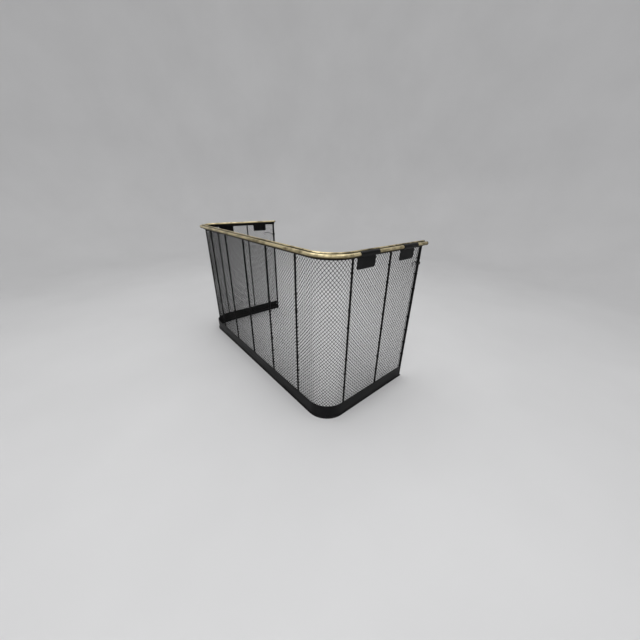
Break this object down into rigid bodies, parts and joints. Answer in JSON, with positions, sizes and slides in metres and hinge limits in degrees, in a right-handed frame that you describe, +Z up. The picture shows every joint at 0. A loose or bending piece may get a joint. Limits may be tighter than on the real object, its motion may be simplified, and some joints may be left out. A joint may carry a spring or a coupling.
{
  "type": "nursery fire guard",
  "caption": "Free-standing U-shaped fire guard of iron rods and wire mesh with rounded corners, brass rails, a sheet skirt, hinged rail plates and swinging wall hooks.",
  "frame": {"origin": "on the floor, at the middle of the box round the guard", "axes": "+Z up, +X along the front to the guard's left-to-right length, -Y out of the front, the open back faces +Y"},
  "size_m": [1.2332, 0.559, 0.686],
  "materials": {
    "black_iron": "satin black stove paint",
    "black_sheet": "satin black stove paint on sheet iron",
    "mesh_wire": "black painted woven wire",
    "rail_brass": "polished brass, lightly tarnished",
    "hook_wire": "worn black wire"
  },
  "bodies": {
    "guard": {"top_bar": "black_iron", "base_bar": "black_iron", "upper_rail": "rail_brass", "outer_rail": "rail_brass", "plug_upper_left": "black_iron", "plug_upper_right": "black_iron", "plug_outer_left": "black_iron", "plug_outer_right": "black_iron", "skirt": "black_sheet", "foot_bead": "black_iron", "front_upright_1": "black_iron", "front_upright_2": "black_iron", "front_upright_3": "black_iron", "front_upright_4": "black_iron", "front_upright_5": "black_iron", "left_upright_1": "black_iron", "left_upright_2": "black_iron", "right_upright_1": "black_iron", "right_upright_2": "black_iron", "end_post_left": "black_iron", "end_post_right": "black_iron", "mesh_front": "mesh_wire", "mesh_corner_left": "mesh_wire", "mesh_corner_right": "mesh_wire", "mesh_left": "mesh_wire", "mesh_right": "mesh_wire", "mesh_ties": "mesh_wire", "rail_studs": "black_iron", "skirt_rivets": "black_iron", "hook_collars": "black_iron"},
    "left_front_plate": {"plate_left_front": "black_sheet"},
    "left_rear_plate": {"plate_left_rear": "black_sheet"},
    "right_front_plate": {"plate_right_front": "black_sheet"},
    "right_rear_plate": {"plate_right_rear": "black_sheet"},
    "left_hook": {"hook_left": "hook_wire"},
    "right_hook": {"hook_right": "hook_wire"}
  },
  "joints": [
    {"name": "plate_left_front_swing", "type": "hinge", "parent": "guard", "child": "left_front_plate", "pos_m": [-0.6075, -0.0905, 0.675], "axis": [0, 1, 0], "range_deg": [-6, 255]},
    {"name": "plate_left_rear_swing", "type": "hinge", "parent": "guard", "child": "left_rear_plate", "pos_m": [-0.6075, 0.1515, 0.675], "axis": [0, 1, 0], "range_deg": [-6, 255]},
    {"name": "plate_right_front_swing", "type": "hinge", "parent": "guard", "child": "right_front_plate", "pos_m": [0.6075, -0.0905, 0.675], "axis": [0, -1, 0], "range_deg": [-6, 255]},
    {"name": "plate_right_rear_swing", "type": "hinge", "parent": "guard", "child": "right_rear_plate", "pos_m": [0.6075, 0.1515, 0.675], "axis": [0, -1, 0], "range_deg": [-6, 255]},
    {"name": "hook_left_swing", "type": "hinge", "parent": "guard", "child": "left_hook", "pos_m": [-0.592, 0.2595, 0.592], "axis": [0, 0, -1], "range_deg": [0, 306]},
    {"name": "hook_right_swing", "type": "hinge", "parent": "guard", "child": "right_hook", "pos_m": [0.592, 0.2595, 0.592], "axis": [0, 0, 1], "range_deg": [0, 306]}
  ]
}
